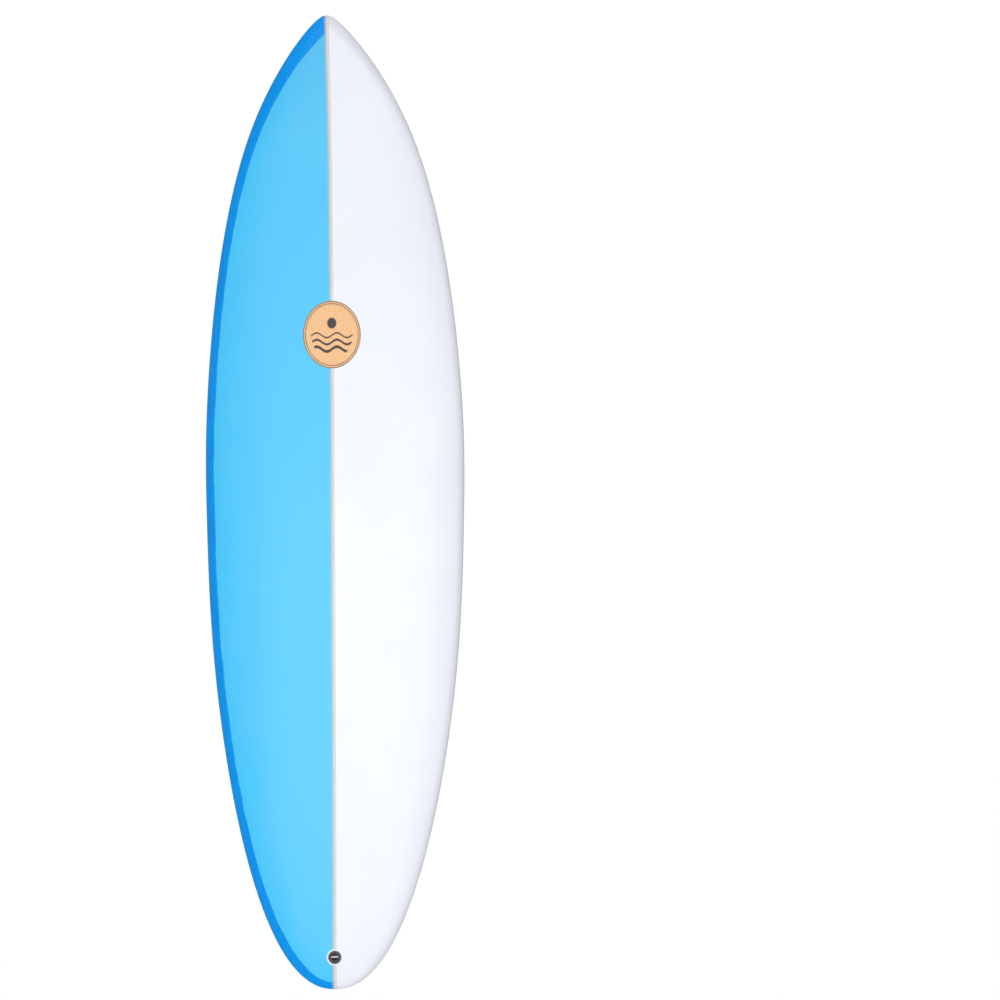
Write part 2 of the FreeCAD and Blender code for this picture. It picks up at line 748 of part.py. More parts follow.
# the laminates reach across the middle strip as far as the edge of the tinted cloth
strips = {
    "left": (-dim("glue_outside"), "0 - glue_outside", "colour_break"),
    "right": (dim("colour_break"), "colour_break", "glue_outside"),
}
windows = {}
lap_parts = {"left": [], "right": []}
edges = (("InsideLap", 0), ("InsideSeam", 1))
middles = [inside_lap_middle(name, seams) for name, seams in edges]
for where, side in SIDES.items():
    x, x_from, x_to = strips[where]
    sides = [inside_lap(name, where, seams) for name, seams in edges]
    for face in ("deck", "bottom"):
        tag = "%s_%s" % (face, where)
        half = feature("SkinHalf_" + tag, half_skin(side, face))
        strip = thick_profile("SkinStrip_" + tag, skin_profile(face, x), x_from, x_to)
        pairs = ((half, sides), (strip, middles))
        inside = [common("Inside_" + piece.Name, piece, window) for piece, (window, _) in pairs]
        windows[face, where] = fuse("Window_" + tag, inside)
        lap_parts[where] += [cut("Outside_" + piece.Name, piece, window) for piece, (_, window) in pairs]

deck_badge_tool = oval_tool("DeckBadgeTool", dim("deck_badge_height"), "deck",
                            "deck_badge_half_length", "deck_badge_half_width")
bottom_badge_tool = oval_tool("BottomBadgeTool", dim("bottom_badge_height"), "bottom",
                              "bottom_badge_half_length", "bottom_badge_half_width")
bottom_mark_tool = mark_tool("BottomMarkTool")
ovals = (("deck_badge", "deck", deck_badge_tool), ("bottom_badge", "bottom", bottom_badge_tool))
for name, face, tool in ovals:
    badge = fuse(name, [common("%s_%s" % (name, where), windows[face, where], tool) for where in SIDES])
    badge.Label = name
    sub_parts.append(badge)
sub_parts.append(common("bottom_mark", windows["bottom", "right"], bottom_mark_tool))


# ---------------------------------------------------------------- foam, stringer and laminates

for where in SIDES:
    recesses = fuse("foam_recesses_" + where, [bed_blanks[plug] for plug in (where, "centre", "leash")])
    sub_parts.append(cut("foam_blank_" + where, cores[where], recesses))

skin = dim("skin")
centre_pieces = [
    ("glue_line_left", -dim("glue_outside"), "0 - glue_outside", "0 - stringer_half"),
    ("stringer", -dim("stringer_half"), "0 - stringer_half", "stringer_half"),
    ("glue_line_right", dim("stringer_half"), "stringer_half", "glue_outside"),
]
for name, x, x_from, x_to in centre_pieces:
    piece = thick_profile(name + "_whole", centre_profile(skin, x), x_from, x_to)
    recesses = fuse(name + "_recesses", [bed_blanks[plug] for plug in ("centre", "leash")])
    sub_parts.append(cut(name, piece, recesses))

openings = {
    ("deck", "left"): [bed_blanks["leash"], deck_badge_tool],
    ("deck", "right"): [bed_blanks["leash"], deck_badge_tool],
    ("bottom", "left"): [bed_blanks["centre"], bed_blanks["left"], bottom_badge_tool],
    ("bottom", "right"): [bed_blanks["centre"], bed_blanks["right"], bottom_badge_tool, bottom_mark_tool],
}
for where in SIDES:
    for face in ("deck", "bottom"):
        name = "%s_laminate_%s" % (face, where)
        tools = fuse(name + "_openings", openings[face, where])
        sub_parts.append(cut(name, windows[face, where], tools))
    lap = fuse("rail_lap_" + where, lap_parts[where])
    lap.Label = "rail_lap_" + where
    sub_parts.append(lap)


# ---------------------------------------------------------------- check and write

doc.recompute()

for obj in doc.Objects:
    if "Invalid" in obj.State or "Error" in obj.State:
        raise RuntimeError("%s failed: %s" % (obj.Name, obj.State))
for part in sub_parts:
    shape = part.Shape
    if shape.isNull() or not shape.isValid() or not shape.Solids:
        raise RuntimeError("%s has no valid solid" % part.Label)

os.makedirs("parts", exist_ok=True)
for part in sub_parts:
    part.Shape.exportStep("parts/%s.step" % part.Label)
    box = part.Shape.optimalBoundingBox(False)
    print("%-28s solids %d  x %.1f..%.1f  y %.1f..%.1f  z %.1f..%.1f" % (
        part.Label, len(part.Shape.Solids), box.XMin, box.XMax, box.YMin, box.YMax, box.ZMin, box.ZMax))
print(len(sub_parts), "sub-parts")
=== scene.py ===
"""Looks of the shortboard surfboard, built round its CAD frame.

The board stands on its tail: +Z runs from tail to nose, the deck faces -Y and the bottom +Y, and
the tinted half is -X.  The board's own sizes are in millimetres; objects are made in metres.
"""

import json
import math

import bmesh
import bpy
import numpy as np
from mathutils import Matrix, Vector


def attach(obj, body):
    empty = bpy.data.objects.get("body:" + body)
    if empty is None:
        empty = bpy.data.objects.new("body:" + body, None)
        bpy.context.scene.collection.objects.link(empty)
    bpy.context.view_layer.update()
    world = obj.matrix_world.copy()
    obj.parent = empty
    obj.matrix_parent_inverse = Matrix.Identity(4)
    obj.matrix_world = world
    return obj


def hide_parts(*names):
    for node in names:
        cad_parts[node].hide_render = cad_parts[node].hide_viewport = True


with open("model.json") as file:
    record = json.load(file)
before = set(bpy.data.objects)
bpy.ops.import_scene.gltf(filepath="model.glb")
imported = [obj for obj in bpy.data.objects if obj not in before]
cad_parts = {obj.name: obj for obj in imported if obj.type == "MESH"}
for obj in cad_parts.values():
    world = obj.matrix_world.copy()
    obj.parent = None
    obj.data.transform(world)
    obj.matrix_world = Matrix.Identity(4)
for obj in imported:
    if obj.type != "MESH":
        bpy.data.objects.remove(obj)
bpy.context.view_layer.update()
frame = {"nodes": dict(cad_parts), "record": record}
nodes = frame["nodes"]

MM = 0.001
BOARD = "board"

# ---------------------------------------------------------------- the hull, as in the CAD model

LENGTH, WIDTH, THICKNESS = 1930.0, 527.0, 67.0
NOSE_ROCKER, TAIL_ROCKER, LOW_POINT = 128.0, 62.0, 66.0
SKIN = 1.0
STRIP = 3.3                     # half the width of the straight strip in the middle
BREAK = -1.5                    # X of the edge between the tinted and the clear cloth
LAP_WIDTH, LAP_AT_NOSE, LAP_AT_TAIL = 19.0, 32.0, 15.0
RAIL_HEIGHT = 0.36

# along the length, half-width, tail rocker, nose rocker, thickness: all as fractions
HULL_ROWS = [
    (0.000, 0.000, 1.00, 0.00, 0.00),
    (0.000, 0.272, 1.00, 0.00, 0.24),
    (0.085, 0.660, 0.55, 0.00, 0.52),
    (0.316, 0.960, 0.00, 0.00, 0.93),
    (0.484, 0.996, 0.00, 0.00, 1.02),
    (0.622, 1.018, 0.00, -0.01, 1.00),
    (0.912, 0.743, 0.00, 0.38, 0.54),
    (1.000, 0.085, 0.00, 1.00, 0.14),
    (1.000, 0.000, 0.00, 1.00, 0.00),
]
DECK_SECTION = [(0.00, 1.00), (0.33, 1.00), (0.66, 0.93), (0.90, 0.70)]
BOTTOM_SECTION = [(0.93, 0.07), (0.70, 0.00), (0.35, 0.00), (0.00, 0.00)]
RAIL_X = (6.0 - DECK_SECTION[-1][0] - BOTTOM_SECTION[0][0]) / 4.0
SECTION = np.array(DECK_SECTION + [(RAIL_X, RAIL_HEIGHT)] + BOTTOM_SECTION)
SPANS = len(HULL_ROWS) - 3      # of a cubic with that many control points, along and round alike
RAIL_V = SPANS / 2.0            # the parameter of the rail's widest line
FINE_STEPS, EDGE_STEPS, WINDOW_STEPS = 4000, 1200, 240
END_MARGIN = 0.012              # keeps normals off the closed ends, where they have no direction


def weights(at):
    """Weights of nine control points of a clamped uniform cubic, at an array of parameters."""
    knots = np.concatenate([np.zeros(3), np.arange(SPANS + 1), np.full(3, float(SPANS))])
    at = np.clip(np.asarray(at, float), 0.0, SPANS - 1e-9)[..., None]
    blend = ((knots[:-1] <= at) & (at < knots[1:])).astype(float)
    for degree in (1, 2, 3):
        left = knots[degree:-1] - knots[:-degree - 1]
        right = knots[degree + 1:] - knots[1:-degree]
        rise = np.where(left > 0, (at - knots[:-degree - 1]) / np.where(left > 0, left, 1), 0)
        fall = np.where(right > 0, (knots[degree + 1:] - at) / np.where(right > 0, right, 1), 0)
        blend = rise * blend[..., :-1] + fall * blend[..., 1:]
    return blend


def hull_rows(inset):
    """The control rows: height, half-width, bottom line and thickness."""
    rows = []
    for along, wide, tail, nose, thick in HULL_ROWS:
        rise = tail * TAIL_ROCKER + nose * NOSE_ROCKER + inset
        rows.append([along * LENGTH, max(STRIP, wide * WIDTH / 2 - inset), LOW_POINT - rise,
                     max(0.0, thick * THICKNESS - 2 * inset)])
    for end, beside, inner, draw in ((0, 1, 2, inset), (-1, -2, -3, -inset)):
        slope = (rows[inner][2] - rows[beside][2]) / (rows[inner][0] - rows[beside][0])
        rows[beside][0] += draw
        rows[beside][2] += slope * draw
        rows[end][0] = rows[beside][0]
        rows[end][2] = rows[beside][2] - RAIL_HEIGHT * rows[beside][3]
    return np.array(rows)


ROWS = {inset: hull_rows(inset) for inset in (0.0, SKIN)}
FINE = np.linspace(0.0, SPANS, FINE_STEPS + 1)
Z_OF_U = weights(FINE) @ ROWS[0.0][:, 0]
X_OF_V = weights(FINE) @ SECTION[:, 0]
DECK_HALF = FINE <= RAIL_V


def u_at(z):
    return np.interp(z, Z_OF_U, FINE)


def v_at(share, face):
    """Where round the section the deck or the bottom reaches that share of the half-width."""
    if face == "deck":
        return np.interp(share, X_OF_V[DECK_HALF], FINE[DECK_HALF])
    return np.interp(-np.asarray(share), -X_OF_V[~DECK_HALF], FINE[~DECK_HALF])


def surface(u, v, side, inset=0.0):
    """Points of one half of the hull, in millimetres."""
    z, half_width, bottom, thickness = np.moveaxis(weights(u) @ ROWS[inset], -1, 0)
    x, height = np.moveaxis(weights(v) @ SECTION, -1, 0)
    return np.stack(np.broadcast_arrays(side * (STRIP + x * (half_width - STRIP)),
                                        bottom - height * thickness, z), -1)


def normals(u, v, side):
    """Unit vectors out of the hull."""
    step = 1e-3
    u = np.clip(u, END_MARGIN, SPANS - END_MARGIN)
    v = np.clip(v, step, SPANS - step)
    along = surface(u + step, v, side) - surface(u - step, v, side)
    across = surface(u, v + step, side) - surface(u, v - step, side)
    out = np.cross(along, across) * np.asarray(side)[..., None]
    return out / np.linalg.norm(out, axis=-1, keepdims=True)


def params(x, z, face):
    """u, v and side of points on the deck or the bottom, from their X and Z."""
    u = u_at(z)
    half_width = weights(u) @ ROWS[0.0][:, 1]
    share = np.clip((np.abs(x) - STRIP) / (half_width - STRIP), 0.0, 1.0)
    return u, v_at(share, face), np.where(np.asarray(x) < 0, -1.0, 1.0)


def on_face(x, z, face, inset=0.0):
    """Points of the deck or the bottom at X and Z."""
    u, v, side = params(x, z, face)
    point = surface(u, v, side, inset)
    point[..., 0] = x
    point[..., 2] = z
    return point


# ---------------------------------------------------------------- the lap's edge


def lap_outline(at):
    """Half-width and height of the lap's inner edge, at parameters from tail to nose."""
    rows = ROWS[0.0]
    nose = LENGTH - LAP_AT_NOSE
    points = [(half_width - LAP_WIDTH, z) for z, half_width in rows[1:-1, :2]]
    points[0] = (points[0][0], LAP_AT_TAIL)
    points[-1] = (points[-1][0], nose)
    points = np.array([(STRIP, LAP_AT_TAIL)] + points + [(STRIP, nose)])
    return np.moveaxis(weights(at) @ points, -1, 0)


LAP_X, LAP_Z = lap_outline(np.linspace(0.0, SPANS, EDGE_STEPS + 1))


def lap_distance(points):
    """How far points lie inside the lap's edge, seen square on; negative on the lap."""
    x = np.abs(points[:, 0])
    z = points[:, 2]
    least = np.full(len(points), np.inf)
    for edge_x, edge_z in zip(LAP_X, LAP_Z):
        least = np.minimum(least, (x - edge_x) ** 2 + (z - edge_z) ** 2)
    edge = np.interp(z, LAP_Z, LAP_X)
    inside = (x < edge) & (z > LAP_AT_TAIL) & (z < LENGTH - LAP_AT_NOSE)
    return np.sqrt(least) * np.where(inside, 1.0, -1.0)


# ---------------------------------------------------------------- meshes


class Shell:
    """A closed skin made of an outer sheet, the same sheet inside it, and walls round its edges."""

    def __init__(self):
        self.index = {}
        self.outer = []
        self.inner = []
        self.out = []
        self.faces = []

    def vertex(self, outer, inner, out):
        key = tuple(np.round(outer, 4))
        if key not in self.index:
            self.index[key] = len(self.outer)
            self.outer.append(outer)
            self.inner.append(inner)
            self.out.append(out)
        return self.index[key]

    def grid(self, outer, inner, out):
        """Add a grid of quads; where points fall together, a quad is a triangle or nothing."""
        rows, columns = outer.shape[:2]
        index = [[self.vertex(outer[i, j], inner[i, j], out[i, j]) for j in range(columns)]
                 for i in range(rows)]
        for i in range(rows - 1):
            for j in range(columns - 1):
                corners = [index[i][j], index[i][j + 1], index[i + 1][j + 1], index[i + 1][j]]
                corners = list(dict.fromkeys(corners))
                if len(corners) > 2:
                    self.faces.append(corners)

    def build(self, name):
        count = len(self.outer)
        edges = dict.fromkeys((a, b) for face in self.faces
                              for a, b in zip(face, face[1:] + face[:1]))
        rim = [(a, b) for a, b in edges if (b, a) not in edges]
        faces = list(self.faces)
        faces += [[count + i for i in reversed(face)] for face in self.faces]
        faces += [[b, a, count + a, count + b] for a, b in rim]
        mesh = bpy.data.meshes.new(name)
        mesh.from_pydata((np.array(self.outer + self.inner) * MM).tolist(), [], faces)
        return link(name, mesh)


def link(name, mesh):
    """A new object with consistent outward faces."""
    work = bmesh.new()
    work.from_mesh(mesh)
    bmesh.ops.recalc_face_normals(work, faces=work.faces)
    work.to_mesh(mesh)
    work.free()
    obj = bpy.data.objects.new(name, mesh)
    bpy.context.scene.collection.objects.link(obj)
    return obj


WINDOW_T = np.linspace(0.0, SPANS, WINDOW_STEPS + 1)
CAP_ROWS, FACE_COLUMNS, LAP_COLUMNS, PATCH_RINGS = 12, 30, 22, 9
TAIL_TIP, NOSE_TIP = (0.0, 0.0, -1.0), (0.0, -0.42, 0.91)      # which way the tips point
SMOOTH_LIMIT = 0.6              # a face turned further than this from the hull's normal is flat


def window_rows():
    """u of each row inside the lap's edge, and v of that edge on the deck and on the bottom."""
    x, z = lap_outline(WINDOW_T)
    u, deck_v, _ = params(x, z, "deck")
    _, bottom_v, _ = params(x, z, "bottom")
    for end in (0, -1):
        deck_v[end] = 0.0
        bottom_v[end] = SPANS
    return u, deck_v, bottom_v


def with_strip(shell, u, v, side, deck):
    """Add a sheet to a shell, widened to the colour break beside its first or its last column."""
    u = u[:, None]
    sheets = [surface(u, v, side, inset) for inset in (0.0, SKIN)]
    out = normals(u, v, side)
    edge = slice(0, 1) if deck else slice(-1, None)
    widened = []
    for sheet, keep, x in zip(sheets + [out], ((0, 1, 1),) * 2 + ((1, 1, 1),), (BREAK, BREAK, 0.0)):
        column = sheet[:, edge] * keep + (x, 0, 0)
        widened.append(np.concatenate([column, sheet] if deck else [sheet, column], 1))
    shell.grid(*widened)


def face_skin(name, face, side):
    """The laminate inside the lap's edge on one half of the deck or the bottom."""
    u, deck_v, bottom_v = window_rows()
    share = np.linspace(0.0, 1.0, FACE_COLUMNS)
    if face == "deck":
        v = deck_v[:, None] * share
    else:
        v = SPANS + (bottom_v - SPANS)[:, None] * share[::-1]
    shell = Shell()
    with_strip(shell, u, v, side, face == "deck")
    return shell.build(name)


def lap_skin(name, side):
    """The lap round one rail, with its closed ends at the tail and the nose."""
    u, deck_v, bottom_v = window_rows()
    tail_u = np.linspace(0.0, u[0], CAP_ROWS + 1)[:-1]
    nose_u = np.linspace(u[-1], SPANS, CAP_ROWS + 1)[1:]
    all_u = np.concatenate([tail_u, u, nose_u])
    cap = np.ones(CAP_ROWS)
    start = np.concatenate([0 * cap, deck_v, 0 * cap])
    stop = np.concatenate([SPANS * cap, bottom_v, SPANS * cap])
    v = start[:, None] + (stop - start)[:, None] * np.linspace(0.0, 1.0, LAP_COLUMNS)
    shell = Shell()
    out = normals(all_u[:, None], v, side)
    out[0] = TAIL_TIP
    out[-1] = NOSE_TIP
    shell.grid(*[surface(all_u[:, None], v, side, inset) for inset in (0.0, SKIN)], out)
    for rows in (slice(0, CAP_ROWS + 1), slice(-CAP_ROWS - 1, None)):
        for column in (0, LAP_COLUMNS - 1):
            with_strip(shell, all_u[rows], v[rows, column:column + 1], side, column == 0)
    obj = shell.build(name)
    dress(obj, np.array(shell.out * 2))
    return obj


def patch_skin(name, face, outline):
    """A badge: the laminate inside an outline of X and Z."""
    outline = np.array(outline)
    middle = outline.mean(0)
    rings = np.linspace(0.0, 1.0, PATCH_RINGS)[:, None, None]
    loop = np.concatenate([outline, outline[:1]])[None]
    flat = middle + rings * (loop - middle)
    shell = Shell()
    sheets = [on_face(flat[..., 0], flat[..., 1], face, inset) for inset in (0.0, SKIN)]
    shell.grid(*sheets, normals(*params(flat[..., 0], flat[..., 1], face)))
    obj = shell.build(name)
    dress(obj, face_normals(obj, face))
    return obj


def surface_frame(x, z, face, turn=0.0):
    """A frame on the deck or the bottom: its Z points out of the board, its X towards the nose."""
    step = 5.0

    def point(px, pz):
        return Vector(on_face(np.array(px), np.array(pz), face))

    forward = (point(x, z + step) - point(x, z - step)).normalized()
    out = (point(x + step, z) - point(x - step, z)).cross(forward).normalized()
    if (out.y > 0) != (face == "bottom"):
        out = -out
    basis = Matrix((forward, out.cross(forward), out)).transposed().to_4x4()
    spin = Matrix.Rotation(math.radians(turn), 4, "Z")
    return Matrix.Translation(point(x, z)) @ basis @ spin


def prism(name, outline, place, low, high):
    """A cutter: an outline in a frame's XY plane, from low to high along its Z."""
    points = [place @ Vector((x, y, level)) * MM for level in (low, high) for x, y in outline]
    count = len(outline)
    faces = [list(range(count)), list(range(count, 2 * count))]
    faces += [[i, (i + 1) % count, count + (i + 1) % count, count + i] for i in range(count)]
    mesh = bpy.data.meshes.new(name)
    mesh.from_pydata(points, [], faces)
    return link(name, mesh)


def arc(x, y, radius, start, stop, count):
    """Points of an arc, in degrees, without its last one."""
    angles = np.radians(np.linspace(start, stop, count + 1)[:-1])
    return [(x + radius * math.cos(a), y + radius * math.sin(a)) for a in angles]


def cut_out(obj, cutters):
    """Cut every cutter out of a piece and apply the result."""
    for cutter in cutters:
        modifier = obj.modifiers.new("cut", "BOOLEAN")
        modifier.operation = "DIFFERENCE"
        modifier.solver = "EXACT"
        modifier.object = cutter
    evaluated = obj.evaluated_get(bpy.context.evaluated_depsgraph_get())
    mesh = bpy.data.meshes.new_from_object(evaluated)
    obj.modifiers.clear()
    obj.data = mesh


def positions(obj):
    """A mesh's points, in millimetres."""
    points = np.empty(len(obj.data.vertices) * 3)
    obj.data.vertices.foreach_get("co", points)
    return points.reshape(-1, 3) / MM


def face_normals(obj, face):
    """The hull's normals at a mesh's points."""
    points = positions(obj)
    return normals(*params(points[:, 0], points[:, 2], face))


def dress(obj, out):
    """Smooth shading with the hull's own normals, and each point's distance from the lap's edge."""
    mesh = obj.data
    mesh.shade_smooth()
    flat = np.empty(len(mesh.polygons) * 3)
    mesh.polygons.foreach_get("normal", flat)
    flat = flat.reshape(-1, 3)
    vertex = np.empty(len(mesh.loops), int)
    mesh.loops.foreach_get("vertex_index", vertex)
    sizes = np.empty(len(mesh.polygons), int)
    mesh.polygons.foreach_get("loop_total", sizes)
    flat = flat.repeat(sizes, 0)
    smooth = out[vertex]
    facing = (smooth * flat).sum(1, keepdims=True)
    chosen = np.where(np.abs(facing) > SMOOTH_LIMIT, smooth * np.sign(facing), flat)
    mesh.normals_split_custom_set(chosen.tolist())
    distance = mesh.attributes.new("lap_mm", "FLOAT", "POINT")
    distance.data.foreach_set("value", lap_distance(positions(obj)).astype(np.float32))


# ---------------------------------------------------------------- the skins and badges

DECK_BADGE, BOTTOM_BADGE = (0.0, 1306.0), (0.0, 465.0)
DECK_OVAL, BOTTOM_OVAL = (58.0, 68.0), (30.0, 35.5)
MARK, MARK_LENGTH, MARK_WIDTH = (196.0, 1442.0), 92.0, 34.0
MARK_LEAN = -8.0                # along the rail, with its top nearer the stringer
OVAL_SEGMENTS, END_SEGMENTS, LOBE_SEGMENTS, WAIST_SEGMENTS, BED_SEGMENTS = 120, 30, 48, 20, 96

# a fin plug's bed has two lobes and a waist; the leash plug's bed is round
TAB_OFFSET, LOBE, WAIST, BED_GAP = 26.0, 20.75, 25.0, 1.0
WAIST_RADIUS = ((2 * TAB_OFFSET) ** 2 + WAIST ** 2 - 4 * LOBE ** 2) / (8 * LOBE - 4 * WAIST)
LEASH_BED = 16.0
SIDE_OFFSET, SIDE_HEIGHT, CENTRE_HEIGHT, LEASH_HEIGHT, TOE = 152.0, 350.0, 157.0, 64.5, 3.5
THROUGH, LEASH_REACH, PLUG_REACH = 150.0, 8.0, 9.0      # how far cutters reach each way
LEASH = surface_frame(0.0, LEASH_HEIGHT, "deck")
PLUGS = {
    "left": surface_frame(-SIDE_OFFSET, SIDE_HEIGHT, "bottom", TOE),
    "right": surface_frame(SIDE_OFFSET, SIDE_HEIGHT, "bottom", -TOE),
    "centre": surface_frame(0.0, CENTRE_HEIGHT, "bottom"),
}


def oval(centre, half):
    """An upright oval, from its middle and its two half-widths."""
    angles = np.linspace(0.0, 2 * math.pi, OVAL_SEGMENTS, endpoint=False)
    return [(centre[0] + half[0] * math.cos(a), centre[1] + half[1] * math.sin(a)) for a in angles]


def stadium(centre, length, width, lean):
    """A long rounded outline whose long side leans from Z towards X."""
    radius = width / 2
    reach = length / 2 - radius
    ends = arc(0, reach, radius, 0, 180, END_SEGMENTS)
    ends += arc(0, -reach, radius, 180, 360, END_SEGMENTS)
    c, s = math.cos(math.radians(lean)), math.sin(math.radians(lean))
    return [(centre[0] + c * x + s * z, centre[1] - s * x + c * z) for x, z in ends]


def dumbbell():
    """The outline of a fin plug's bed: two lobes and a waist between them."""
    across = WAIST / 2 + WAIST_RADIUS
    lobe, waist = LOBE + BED_GAP, WAIST_RADIUS - BED_GAP
    lobe_angle = math.degrees(math.atan2(across, -TAB_OFFSET))
    waist_angle = math.degrees(math.atan2(TAB_OFFSET, across))
    return (arc(TAB_OFFSET, 0, lobe, -lobe_angle, lobe_angle, LOBE_SEGMENTS)
            + arc(0, across, waist, waist_angle - 90, -waist_angle - 90, WAIST_SEGMENTS)
            + arc(-TAB_OFFSET, 0, lobe, 180 - lobe_angle, 180 + lobe_angle, LOBE_SEGMENTS)
            + arc(0, -across, waist, 90 + waist_angle, 90 - waist_angle, WAIST_SEGMENTS))


def upright(name, outline):
    """A cutter through the whole board, from an outline of X and Z."""
    facing = Matrix.Rotation(math.radians(90), 4, "X")
    return prism(name, outline, facing, -THROUGH, THROUGH)


leash_cutter = prism("cut_leash", arc(0, 0, LEASH_BED, 0, 360, BED_SEGMENTS), LEASH,
                     -LEASH_REACH, LEASH_REACH)
plug_cutters = {where: prism("cut_" + where, dumbbell(), place, -PLUG_REACH, PLUG_REACH)
                for where, place in PLUGS.items()}
deck_oval = oval(DECK_BADGE, DECK_OVAL)
bottom_oval = oval(BOTTOM_BADGE, BOTTOM_OVAL)
mark_outline = stadium(MARK, MARK_LENGTH, MARK_WIDTH, MARK_LEAN)
deck_oval_cutter = upright("cut_deck_badge", deck_oval)
bottom_oval_cutter = upright("cut_bottom_badge", bottom_oval)
mark_cutter = upright("cut_mark", mark_outline)

pieces = {}
for where, side, tint in (("left", -1, "tinted"), ("right", 1, "clear")):
    deck = face_skin("deck_skin_" + where, "deck", side)
    cut_out(deck, [leash_cutter, deck_oval_cutter])
    dress(deck, face_normals(deck, "deck"))
    bottom = face_skin("bottom_skin_" + where, "bottom", side)
    holes = [plug_cutters["centre"], plug_cutters[where], bottom_oval_cutter]
    cut_out(bottom, holes + ([mark_cutter] if where == "right" else []))
    dress(bottom, face_normals(bottom, "bottom"))
    lap = lap_skin("lap_skin_" + where, side)
    for obj, node, slot in ((deck, "deck_laminate_" + where, tint + "_laminate"),
                            (bottom, "bottom_laminate_" + where, tint + "_laminate"),
                            (lap, "rail_lap_" + where, tint + "_lap")):
        pieces[node] = (obj, slot)

for node, face, outline, slot in (("deck_badge", "deck", deck_oval, "deck_print"),
                                  ("bottom_badge", "bottom", bottom_oval, "bottom_print"),
                                  ("bottom_mark", "bottom", mark_outline, "mark_print")):
    pieces[node] = (patch_skin(node + "_print", face, outline), slot)
for cutter in (leash_cutter, deck_oval_cutter, bottom_oval_cutter, mark_cutter,
               *plug_cutters.values()):
    bpy.data.objects.remove(cutter)
for node, (obj, slot) in pieces.items():
    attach(obj, BOARD)
    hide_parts(node)


# ---------------------------------------------------------------- materials


def srgb(red, green, blue):
    """A linear colour from display values of 0 to 255."""
    values = [value / 255 for value in (red, green, blue)]
    linear = [v / 12.92 if v <= 0.04045 else ((v + 0.055) / 1.055) ** 2.4 for v in values]
    return (*linear, 1.0)


SKY, SKY_DEEP = srgb(86, 203, 251), srgb(74, 202, 254)
LAP_BLUE, LAP_DEEP = srgb(0, 155, 243), srgb(0, 141, 230)
# painted shade colours: the greyed blue at the nose, and the grey at the clear rail's edge
NOSE_SHADE_BLUE, RAIL_SHADE = srgb(88, 184, 234), srgb(208, 210, 217)
WHITE, WHITE_DEEP = srgb(243, 245, 252), srgb(240, 242, 251)
LAP_WHITE, LAP_WHITE_DEEP = srgb(242, 244, 252), srgb(236, 238, 248)
WOOD_UNDER, WOOD_GRAIN = srgb(233, 230, 221), srgb(218, 212, 199)
GLUE_UNDER, TAPE_EDGE = srgb(190, 170, 142), srgb(202, 196, 187)
PENCIL = srgb(84, 86, 92)
KRAFT, KRAFT_DEEP, INK = srgb(252, 202, 150), srgb(238, 184, 130), srgb(70, 62, 58)
STROKE = srgb(34, 34, 40)
FROSTED, FROSTED_DEEP = srgb(237, 237, 239), srgb(229, 230, 233)
RESIN_FINISH = {"Roughness": 0.34, "IOR": 1.5, "Specular IOR Level": 0.35, "Coat Weight": 0.35,
                "Coat Roughness": 0.2}
LAP_FINISH = {**RESIN_FINISH, "Specular IOR Level": 0.15, "Coat Weight": 0.15}
NOSE_SHADE_FROM = 1650.0              # Z from which painted shade greys the blue towards the nose
WEAVE, WEAVE_DEPTH = 1.5, 0.006  # the threads' spacing, and how far they show through
WOOD_EDGE, GLUE_EDGE = 2.2, 3.1  # X of the edges seen through the clear half
TAPE_FROM, TAPE_TO = -3.0, -0.8  # X of the pale edge that the tint's tape left
PENCILLED = ((70.0, 95.0), (290.0, 420.0))      # Z of the pencilled stretches of the stringer


